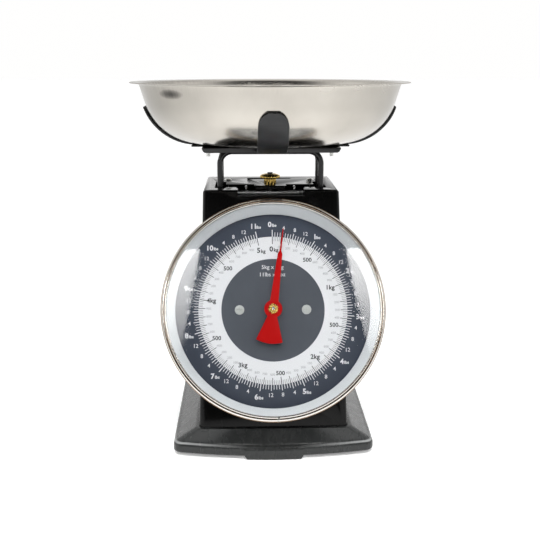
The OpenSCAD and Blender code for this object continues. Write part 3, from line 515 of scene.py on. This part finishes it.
def plan_ring(half, front, bow, back, r, z):
    """One closed ring of the base's plan: bowed front edge, right side, back and left side."""
    long_steps, side_steps, corner_steps = 28, 16, 8
    reach = half - r
    corner = front + bow
    side = back - corner - 2 * r
    points = []
    for i in range(long_steps + 1):
        points.append((-reach + 2 * reach * i / long_steps, front + bow * (2 * i / long_steps - 1) ** 2))
    points += arc(reach, corner + r, r, -90, 0, corner_steps)[1:]
    points += [(half, corner + r + side * i / side_steps) for i in range(1, side_steps + 1)]
    points += arc(reach, back - r, r, 0, 90, corner_steps)[1:]
    points += [(reach - 2 * reach * i / long_steps, back) for i in range(1, long_steps + 1)]
    points += arc(-reach, back - r, r, 90, 180, corner_steps)[1:]
    points += [(-half, back - r - side * i / side_steps) for i in range(1, side_steps + 1)]
    points += arc(-reach, corner + r, r, 180, 270, corner_steps)[1:-1]
    return [(x, y, z) for x, y in points]


def pan_ring(inset, z):
    """Ring of the base's outline, moved inwards."""
    back = pan_high.y - inset
    return plan_ring(HALF_W - inset, PAN_FRONT + inset, PAN_BOW, back, CORNER_R - inset / 2, z)


def foot_ring(grow, z):
    """Ring round the case's foot, moved outwards."""
    return plan_ring(case_high.x + grow, case_low.y - grow, 0, case_high.y + grow, 3 + grow, z)


def deck_ring(share):
    """Ring on the sloping deck, from the case's foot at 0 to the shoulder at 1."""
    low, high = foot_ring(2.6, DECK_Z - 0.35), pan_ring(2.1, SHOULDER_Z + 0.35)
    return [tuple(a + (b - a) * share for a, b in zip(p, q)) for p, q in zip(low, high)]


def lowered(ring, drop):
    return [(x, y, z - drop) for x, y, z in ring]


def skirt_panel():
    """Raised panel at the middle of the front skirt, with its lower corners cut off."""
    half, steps, chamfer = 20.0, 24, 1.7
    top = SHOULDER_Z - 1.5
    points = []
    for i in range(steps + 1):
        x = -half + 2 * half * i / steps
        front = PAN_FRONT + PAN_BOW * (x / (HALF_W - CORNER_R)) ** 2
        foot = 0.45 + max(0.0, abs(x) - (half - chamfer)) * 1.15
        section = [(-0.55, foot), (-0.75, foot + 1.0), (-0.75, top - 1.2), (-0.6, top - 0.35),
                   (-0.1, top + 0.25), (0.6, top + 0.4), (0.6, foot + 0.2)]
        points += [(x, front + dy, z) for dy, z in section]
    return points, skin(steps + 1, len(section), closed=False)


def build_base():
    """Pressed base: from a hole under the case over the deck, round shoulder and skirt, and back below."""
    hole = plan_ring(32, -40, 0, 20, 3, DECK_Z)
    under = DECK_Z - PAN_SHEET
    rings = [hole, foot_ring(-4, DECK_Z), foot_ring(1.2, DECK_Z), foot_ring(2.0, DECK_Z - 0.08)]
    rings += [deck_ring(share) for share in (0, 0.04, 0.15, 0.3, 0.45, 0.6, 0.75, 0.88, 0.97)]
    shoulder = ((1.75, 0.22), (1.3, 0.02), (0.85, -0.34), (0.45, -0.85), (0.18, -1.45), (0.05, -2.1))
    rings += [pan_ring(inset, SHOULDER_Z + rise) for inset, rise in shoulder]
    skirt = ((0, 6.2), (0, 4.2), (0.05, 3.4), (0.25, 2.9), (0.6, 2.62), (1.0, 2.7), (1.2, 3.1),
             (1.2, 7.0), (1.8, 7.9))
    rings += [pan_ring(inset, z) for inset, z in skirt]
    rings += [lowered(deck_ring(share), 1.25) for share in (0.95, 0.5, 0.05)]
    rings += [foot_ring(1.6, under), foot_ring(-4, under), lowered(hole, PAN_SHEET)]
    points = [p for ring in rings for p in ring]
    faces = skin(len(rings), len(hole))
    panel_points, panel_faces = skirt_panel()
    faces += [tuple(len(points) + k for k in face) for face in panel_faces]
    crease(piece("base_pressing", points + panel_points, faces, "base_pan", AXIS), 40)


build_base()


# ---------- dial ----------

plate_high = span("dial_plate", DIAL)[1]
lens_low, lens_high = span("lens", DIAL)
bezel_low, bezel_high = span("bezel", DIAL)
PLATE_R = plate_high.x
PLATE_TOP = plate_high.z
BEZEL_R = bezel_high.x
BEZEL_TOP = bezel_high.z
LENS_BACK = lens_low.z
DIAL_R = 67.0
WHITE_R = 51.2
INNER_R = 35.5
PAINT_STEP = 0.05


def band(name, inner, outer, material, steps):
    """Flat painted ring on the dial plate."""
    top = PLATE_TOP + PAINT_STEP
    profile = [(inner, PLATE_TOP), (outer, PLATE_TOP), (outer, top), (inner, top)]
    lathe(name, profile, "dial_plate", DIAL, steps, material=material, replaces=False, smooth=False)


def build_dial():
    """Dial plate with its white ring and its centre, the cone round it, and the clear sheet in front."""
    sheet, hole_r, bevel = 0.8, 4, 0.1
    back, edge = PLATE_TOP - sheet, PLATE_TOP - bevel
    lathe("dial_disc", [(hole_r, back), (PLATE_R, back), (PLATE_R, edge), (PLATE_R - bevel, PLATE_TOP),
                        (hole_r + bevel, PLATE_TOP), (hole_r, edge)], "dial_plate", DIAL, 160)
    band("dial_print_ring", INNER_R, WHITE_R, PRINT_WHITE, 200)
    band("dial_print_centre", hole_r + bevel, INNER_R, DIAL_CENTRE, 160)

    outer, foot = span("dial_surround", DIAL)[1].x, PLATE_TOP + 0.02
    lathe("dial_cone", [(DIAL_R, foot), (outer, foot), (outer, LENS_BACK), (DIAL_R + 5.3, LENS_BACK),
                        (DIAL_R + 4.95, LENS_BACK - 0.15), (DIAL_R + 4.7, LENS_BACK - 0.5),
                        (DIAL_R + 3.1, PLATE_TOP + 5.6), (DIAL_R + 1.2, PLATE_TOP + 2.6),
                        (DIAL_R + 0.3, PLATE_TOP + 1.2), (DIAL_R, PLATE_TOP + 0.7)],
          "dial_surround", DIAL, 224)

    lens_r, lens_top, lens_bevel = lens_high.x, lens_high.z, 0.2
    lathe("lens_disc", [(0, LENS_BACK), (lens_r - lens_bevel, LENS_BACK), (lens_r, LENS_BACK + lens_bevel),
                        (lens_r, lens_top - lens_bevel), (lens_r - lens_bevel, lens_top), (0, lens_top)],
          "lens", DIAL, 128, smooth=False)


def from_edge(*offsets):
    """Points of the bezel's section, each given as its distance inside the edge and behind the front."""
    return [(BEZEL_R - inside, BEZEL_TOP - behind) for inside, behind in offsets]


def build_bezel():
    """Rolled chrome bezel: grooved band, rounded bead, darker edge and groove in painted shade, and its lapped
    joint.
    """
    inner, bead, lip, back = DIAL_R + 5.2, 1.9, 0.75, bezel_low.z
    profile = [(BEZEL_R - 1.5, back), (BEZEL_R - 0.5, back), (BEZEL_R - 0.12, back + 0.3),
               (BEZEL_R, back + 0.9)]
    profile += from_edge((0, 6.0), (0.25, 5.7), (0.4, 5.4), (0.25, 5.1), (0, 4.8))
    profile += arc(BEZEL_R - bead, BEZEL_TOP - bead, bead, 0, 90, 12)
    profile += from_edge((2.0, 0.28), (2.25, 0.5), (2.5, 0.28))
    profile += arc(inner + lip, BEZEL_TOP - lip, lip, 90, 200, 8)
    profile += [(inner + 0.2, BEZEL_TOP - 1.15), (BEZEL_R - 1.5, BEZEL_TOP - 1.15)]
    # The outermost stretches sit a little deeper, so that the darker edge band of painted shade lies over them
    sunk = [(r - 0.1 if r > BEZEL_R - 0.2 else r, z) for r, z in profile]
    crease(lathe("bezel_ring", sunk, "bezel", DIAL, 256), 50)
    edge_band = from_edge((0.7, 0.65), (0.64, 0.5), (0.16, 0.85), (0, 1.5), (0, 4.7), (0.7, 4.7))
    lathe("bezel_edge", edge_band, "bezel", DIAL, 256, material=CHROME_SHADE, replaces=False)
    groove = from_edge((2.5, 0.7), (2.0, 0.7), (2.03, 0.27), (2.47, 0.27))
    lathe("bezel_groove", groove, "bezel", DIAL, 256, material=CHROME_SHADE, replaces=False)

    section = [(inner + 0.35, BEZEL_TOP - 0.3), (inner + 0.8, BEZEL_TOP - 0.02)]
    section += from_edge((1.45, 0.04), (0.4, 0.5), (0.9, 0.9))
    section += [(inner + 0.9, BEZEL_TOP - 0.8)]
    points = []
    for i in range(5):
        a = math.radians(-88.6 + 0.35 * i)
        points += [(r * math.cos(a), r * math.sin(a), z) for r, z in section]
    faces = skin(5, len(section), closed=False)
    piece("bezel_joint", points, faces, "bezel", DIAL, material=FINISH["bright_steel"], replaces=False)


build_dial()
build_bezel()


# ---------- dial print ----------

def polar(angle, r):
    """Place on the dial at an angle in degrees, clockwise from the top."""
    a = math.radians(angle)
    return r * math.sin(a), r * math.cos(a)


def word_mesh(text, font):
    """Mesh of a word in the built-in font, in millimetres, and its box; font is (size, weight)."""
    curve = bpy.data.curves.new("word", "FONT")
    curve.body = text
    curve.size, curve.offset = font
    curve.extrude = 1.0
    curve.resolution_u = 3
    curve.space_character = 1.02
    word = bpy.data.objects.new("word", curve)
    bpy.context.scene.collection.objects.link(word)
    bpy.context.view_layer.update()
    mesh = bpy.data.meshes.new_from_object(word.evaluated_get(bpy.context.evaluated_depsgraph_get()))
    bpy.data.objects.remove(word)
    bpy.data.curves.remove(curve)
    vertices = [tuple(v.co) for v in mesh.vertices]
    polygons = [tuple(p.vertices) for p in mesh.polygons]
    bpy.data.meshes.remove(mesh)
    xs, ys = [v[0] for v in vertices], [v[1] for v in vertices]
    return vertices, polygons, max(xs) - min(xs), max(ys) - min(ys), min(xs), min(ys)


class Ink:
    """Flat marks on the dial, gathered into one piece per colour; a layer is its (low, high) heights."""

    words_made = {}

    def __init__(self):
        self.points, self.faces = [], []

    def tick(self, angle, inner, outer, width, layer):
        """Radial mark at an angle in degrees, clockwise from the top."""
        ux, uy = polar(angle, 1)
        sx, sy = uy * width / 2, -ux * width / 2
        outline = [(ux * inner - sx, uy * inner - sy), (ux * inner + sx, uy * inner + sy),
                   (ux * outer + sx, uy * outer + sy), (ux * outer - sx, uy * outer - sy)]
        start, count = len(self.points), len(outline)
        self.points += [(x, y, z) for z in layer for x, y in outline]
        self.faces += [tuple(start + k for k in reversed(range(count))),
                       tuple(start + count + k for k in range(count))]
        self.faces += [(start + k, start + (k + 1) % count, start + count + (k + 1) % count,
                        start + count + k) for k in range(count)]

    def ticks(self, count, step, kinds, layer):
        """Marks step degrees apart; kinds lists (every how many, inner, outer, width), the rarest first."""
        for number in range(count):
            inner, outer, width = next(kind[1:] for kind in kinds if number % kind[0] == 0)
            self.tick(number * step, inner, outer, width, layer)

    def glyphs(self, text, font):
        if (text, font) not in self.words_made:
            self.words_made[text, font] = word_mesh(text, font)
        return self.words_made[text, font]

    def words(self, text, font, x, y, layer, anchor=0.5):
        """Generic lettering with its box's middle at (x, y); anchor moves it along its own width."""
        vertices, polygons, width, height, left, bottom = self.glyphs(text, font)
        start = len(self.points)
        dx, dy = x - left - width * anchor, y - bottom - height / 2
        self.points += [(px + dx, py + dy, layer[0] if pz < 0 else layer[1]) for px, py, pz in vertices]
        self.faces += [tuple(start + k for k in face) for face in polygons]
        return width

    def finish(self, name, material):
        piece(name, self.points, self.faces, "dial_plate", DIAL, material=material, smooth=False,
              replaces=False)


SWEEP = 348.0
GRAM_DEGREES = SWEEP / 5000
OUNCE_DEGREES = SWEEP / 176
PRINT_LAP = 0.01
RING_LAYER = (PLATE_TOP + PAINT_STEP - PRINT_LAP, PLATE_TOP + 2 * PAINT_STEP - PRINT_LAP)
BAND_LAYER = (PLATE_TOP - PRINT_LAP, PLATE_TOP + PAINT_STEP)


def kilogram_scale(black, grey):
    """Marks every 20 g on the white ring, with black labels each 500 g and grey ones each 100 g."""
    number_font, unit_font, kilo_font = (4.9, 0.14), (3.5, 0.09), (4.4, 0.11)
    half_font, hundred_font = (4.0, 0.10), (2.25, 0.02)
    label_r, label_drop, hundred_r = 42.85, 0.65, 44.2
    kinds = ((25, WHITE_R - 5.2, WHITE_R, 0.5), (5, WHITE_R - 4.7, WHITE_R, 0.42),
             (1, WHITE_R - 3.1, WHITE_R, 0.24))
    black.ticks(251, 20 * GRAM_DEGREES, kinds, RING_LAYER)
    for half in range(11):
        angle = half * 500 * GRAM_DEGREES
        x, y = polar(angle, label_r - label_drop * math.cos(math.radians(angle)))
        if half in (0, 10):
            width = black.words(str(half // 2), number_font, x - 0.8, y + 0.3, RING_LAYER)
            black.words("kg", unit_font, x + width / 2 - 0.2, y - 0.7, RING_LAYER, anchor=0)
        elif half % 2 == 0:
            black.words(f"{half // 2}kg", kilo_font, x, y, RING_LAYER)
        else:
            black.words("500", half_font, x, y, RING_LAYER)
    for hundreds in range(50):
        if hundreds % 5:
            x, y = polar(hundreds * 100 * GRAM_DEGREES, hundred_r)
            grey.words(str(hundreds % 10 * 100), hundred_font, x, y, RING_LAYER)


def ounce_scale(white):
    """Marks every ounce on the dark band, with labels each pound and each quarter of a pound."""
    pound_font, unit_font, ounce_font = (4.9, 0.14), (2.9, 0.08), (3.7, 0.03)
    pound_r, ounce_r, centring_gap, gap, unit_drop = 60.0, 58.0, 0.3, 0.35, 0.65
    inner = WHITE_R - 0.1
    kinds = ((16, inner, WHITE_R + 4.9, 0.6), (4, inner, WHITE_R + 4.0, 0.5),
             (1, inner, WHITE_R + 3.1, 0.42))
    white.ticks(177, OUNCE_DEGREES, kinds, BAND_LAYER)
    for quarter in range(45):
        angle = quarter * 4 * OUNCE_DEGREES
        pounds, rest = divmod(quarter, 4)
        if rest:
            x, y = polar(angle, ounce_r)
            white.words(str(rest * 4), ounce_font, x, y, BAND_LAYER)
        else:
            x, y = polar(angle, pound_r)
            # The last label stands a little nearer the top than its mark
            x += 1.2 if pounds == 11 else 0
            digits = white.glyphs(str(pounds), pound_font)[2]
            unit = white.glyphs("lbs", unit_font)[2]
            left = x - (digits + unit + centring_gap) / 2
            white.words(str(pounds), pound_font, left, y, BAND_LAYER, anchor=0)
            white.words("lbs", unit_font, left + digits + gap, y - unit_drop, BAND_LAYER, anchor=0)


def build_print():
    """Both scales and the two lines of the caption, one piece per colour."""
    black, grey, white = Ink(), Ink(), Ink()
    kilogram_scale(black, grey)
    ounce_scale(white)
    caption_font = (3.85, 0.04)
    white.words("5kg x 20g", caption_font, 0, 29.4, RING_LAYER)
    white.words("11lbs x 1oz", caption_font, 0, 24.6, RING_LAYER)
    black.finish("dial_marks_black", PRINT_BLACK)
    grey.finish("dial_marks_grey", PRINT_GREY)
    white.finish("dial_marks_white", PRINT_WHITE)


build_print()


# ---------- zero nut ----------

def build_zero_nut():
    """Brass nut: a fluted grip below, and above it a flange with a sloping top."""
    foot = span("zero_nut", AXIS)[0].z
    grip_r, flutes, depth, bore_r = 4.15, 10, 0.42, 2.0
    steps = flutes * 8
    levels = ((0.02, 0.0), (0.35, 0.35), (0.8, 1.0), (4.8, 1.0), (5.3, 0.6))
    points = []
    for rise, share in levels:
        for k in range(steps):
            t = 2 * math.pi * k / steps
            wave = max(-1.0, min(1.0, 1.6 * math.cos(flutes * t)))
            r = grip_r - 0.25 + share * (0.25 + depth * wave)
            points.append((r * math.cos(t), r * math.sin(t), foot + rise))
    piece("zero_nut_hub", points, skin(len(levels), steps, closed=False), "zero_nut", AXIS)
    under = foot + 5.0
    flange = ((bore_r, 0), (6.4, 0), (7.2, 0.2), (7.6, 0.7), (7.6, 1.5), (7.3, 2.1), (6.5, 2.6),
              (5.2, 3.1), (3.9, 3.4), (3.3, 3.5), (bore_r, 3.5))
    profile = [(r, under + rise) for r, rise in flange]
    lathe("zero_nut_flange", profile, "zero_nut", AXIS, 96, replaces=False)


build_zero_nut()


# ---------- springs ----------

def spring(name, node, x):
    """Open-wound load spring with a hook at each end, hung between the case and the load frame; it is built in
    place and rides with no body.
    """
    wire, coil, turns, turn_steps, reach = 0.75, 5.0, 14, 20, 6.5
    top, bottom = 158.5, 56.0
    lower_hook = [(x, -reach, 45.3), (x, -reach, 43.9), (x, -reach + 0.5, 43.1), (x, -reach + 1.4, 42.8),
                  (x, -1.4, 42.8), (x, -0.4, 43.2), (x, 0, 44.2), (x, 0, bottom - 2.5),
                  (x + 1.2, 0, bottom - 0.9)]
    coils = []
    steps = turns * turn_steps
    for i in range(1, steps):
        t = 2 * math.pi * i / turn_steps
        coils.append((x + coil * math.cos(t), coil * math.sin(t), bottom + (top - bottom) * i / steps))
    upper_hook = [(x + 1.2, 0, top + 0.9), (x, 0, top + 2.5), (x, 0, 172.6), (x, -0.4, 173.6),
                  (x, -1.4, 174.1), (x, -reach + 1.4, 174.1), (x, -reach + 0.4, 173.7),
                  (x, -reach, 172.8), (x, -reach, 171.6)]
    made = tube(name, lower_hook + coils + upper_hook, wire, 10, node, AXIS, rides=False)
    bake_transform(made)


spring("spring_left_wire", "spring_left", -18.0)
spring("spring_right_wire", "spring_right", 18.0)


# ---------- studio (metres, but cards in millimetres) ----------

def softbox(name, place, target, width, height, power):
    """An area light that the camera doesn't see, turned towards target."""
    light = bpy.data.lights.new(name, "AREA")
    light.shape = "RECTANGLE"
    light.size, light.size_y = width, height
    light.energy = power
    obj = bpy.data.objects.new(name, light)
    bpy.context.scene.collection.objects.link(obj)
    obj.location = place
    obj.rotation_mode = "QUATERNION"
    obj.rotation_quaternion = (Vector(target) - Vector(place)).to_track_quat("-Z", "Y")
    obj.visible_camera = False
    return obj


def glow_card(name, foot_span, head_span, strength):
    """A soft light card standing in front of the dial, in the dial's axes, fading towards its foot."""
    foot, head, distance = 45, 268, 1200
    corners = [(foot_span[0], foot, distance), (foot_span[1], foot, distance),
               (head_span[1], head, distance), (head_span[0], head, distance)]
    mesh = bpy.data.meshes.new(name)
    mesh.from_pydata([Vector(c) * MM for c in corners], [], [(0, 1, 2, 3)])
    s = Shader(name)
    height = s.split()[1]
    glow = s.add("ShaderNodeEmission")
    glow.inputs["Color"].default_value = (1.0, 0.995, 0.98, 1)
    fade = s.ramp(height, 0.05, 0.27)
    s.link(s.maths("MULTIPLY", s.maths("POWER", fade, 0.7), strength), glow.inputs["Strength"])
    s.link(glow.outputs[0], s.output.inputs["Surface"])
    mesh.materials.append(s.material)
    obj = bpy.data.objects.new(name, mesh)
    bpy.context.scene.collection.objects.link(obj)
    obj.matrix_world = DIAL
    obj.visible_camera = False


def lights():
    """Two glowing cards before the dial, a soft box at each side, and one in front from above."""
    glow_card("card_left", (-430, -155), (-430, -113), 14)
    glow_card("card_right", (230, 500), (187, 500), 16)
    for name, side in (("side_left", -1), ("side_right", 1)):
        softbox(name, (side * 1.6, 0.1, 0.7), (0, 0, 0.12), 0.9, 1.2, 1.1)
    front = softbox("front_top", DIAL @ Vector((0, 0.70, 1.05)), DIAL.translation, 0.8, 0.35, 1.5)
    front.data.spread = math.radians(50)
    front.visible_glossy = False


def floor():
    """A large white disc that glows a little, so that it reads as white paper."""
    mesh = bpy.data.meshes.new("floor")
    disc = bmesh.new()
    bmesh.ops.create_circle(disc, cap_ends=True, radius=14, segments=64)
    disc.to_mesh(mesh)
    disc.free()
    s = Shader("floor")
    soft = s.blend(s.ramp(s.noise(3, 3), 0.3, 0.7), (0.93, 0.93, 0.93), (0.96, 0.96, 0.96))
    s.principled(Base_Color=soft, Roughness=0.7, Normal=s.bump(s.noise(400, 2), 0.02, 0.0005),
                 Emission_Color=(1, 1, 1), Emission_Strength=0.3)
    mesh.materials.append(s.material)
    obj = bpy.data.objects.new("floor", mesh)
    bpy.context.scene.collection.objects.link(obj)


def surroundings():
    """White all round, with a dark patch in front of the dial that the camera itself doesn't see."""
    patch_tilt, dark_within, white_beyond = math.radians(33), math.radians(26), math.radians(56)
    world = bpy.data.worlds.new("studio")
    bpy.context.scene.world = world
    world.use_nodes = True
    tree = world.node_tree
    tree.nodes.clear()
    add, link = tree.nodes.new, tree.links.new
    direction = add("ShaderNodeTexCoord").outputs["Generated"]
    dot = add("ShaderNodeVectorMath")
    dot.operation = "DOT_PRODUCT"
    dot.inputs[1].default_value = (0, -math.cos(patch_tilt), math.sin(patch_tilt))
    link(direction, dot.inputs[0])
    fade = add("ShaderNodeMapRange")
    fade.interpolation_type = "SMOOTHSTEP"
    limits = {"From Min": math.cos(white_beyond), "From Max": math.cos(dark_within),
              "To Min": 1.0, "To Max": 0.0}
    for key, value in limits.items():
        fade.inputs[key].default_value = value
    link(dot.outputs["Value"], fade.inputs["Value"])
    shade = add("ShaderNodeBackground")
    shade.inputs["Color"].default_value = (1.0, 0.997, 0.992, 1)
    seen = add("ShaderNodeMath")
    seen.operation = "MAXIMUM"
    link(add("ShaderNodeLightPath").outputs["Is Camera Ray"], seen.inputs[0])
    link(fade.outputs["Result"], seen.inputs[1])
    link(seen.outputs[0], shade.inputs["Strength"])
    link(shade.outputs[0], add("ShaderNodeOutputWorld").inputs["Surface"])


def camera():
    """Camera in front of the dial, a little left of the middle, looking slightly down."""
    stand_off, height, left, pitch = 0.6516, 0.2643, 0.018, math.radians(13.4)
    obj = bpy.data.objects.new("camera", bpy.data.cameras.new("camera"))
    bpy.context.scene.collection.objects.link(obj)
    bpy.context.scene.camera = obj
    obj.data.sensor_width = 36
    obj.data.lens = 58
    obj.data.clip_end = 50
    obj.location = (-left, AXIS.translation.y - stand_off, height)
    obj.rotation_euler = (math.pi / 2 - pitch, 0, -math.atan(left / stand_off))


lights()
floor()
surroundings()
camera()
bpy.context.scene.view_settings.view_transform = "Standard"
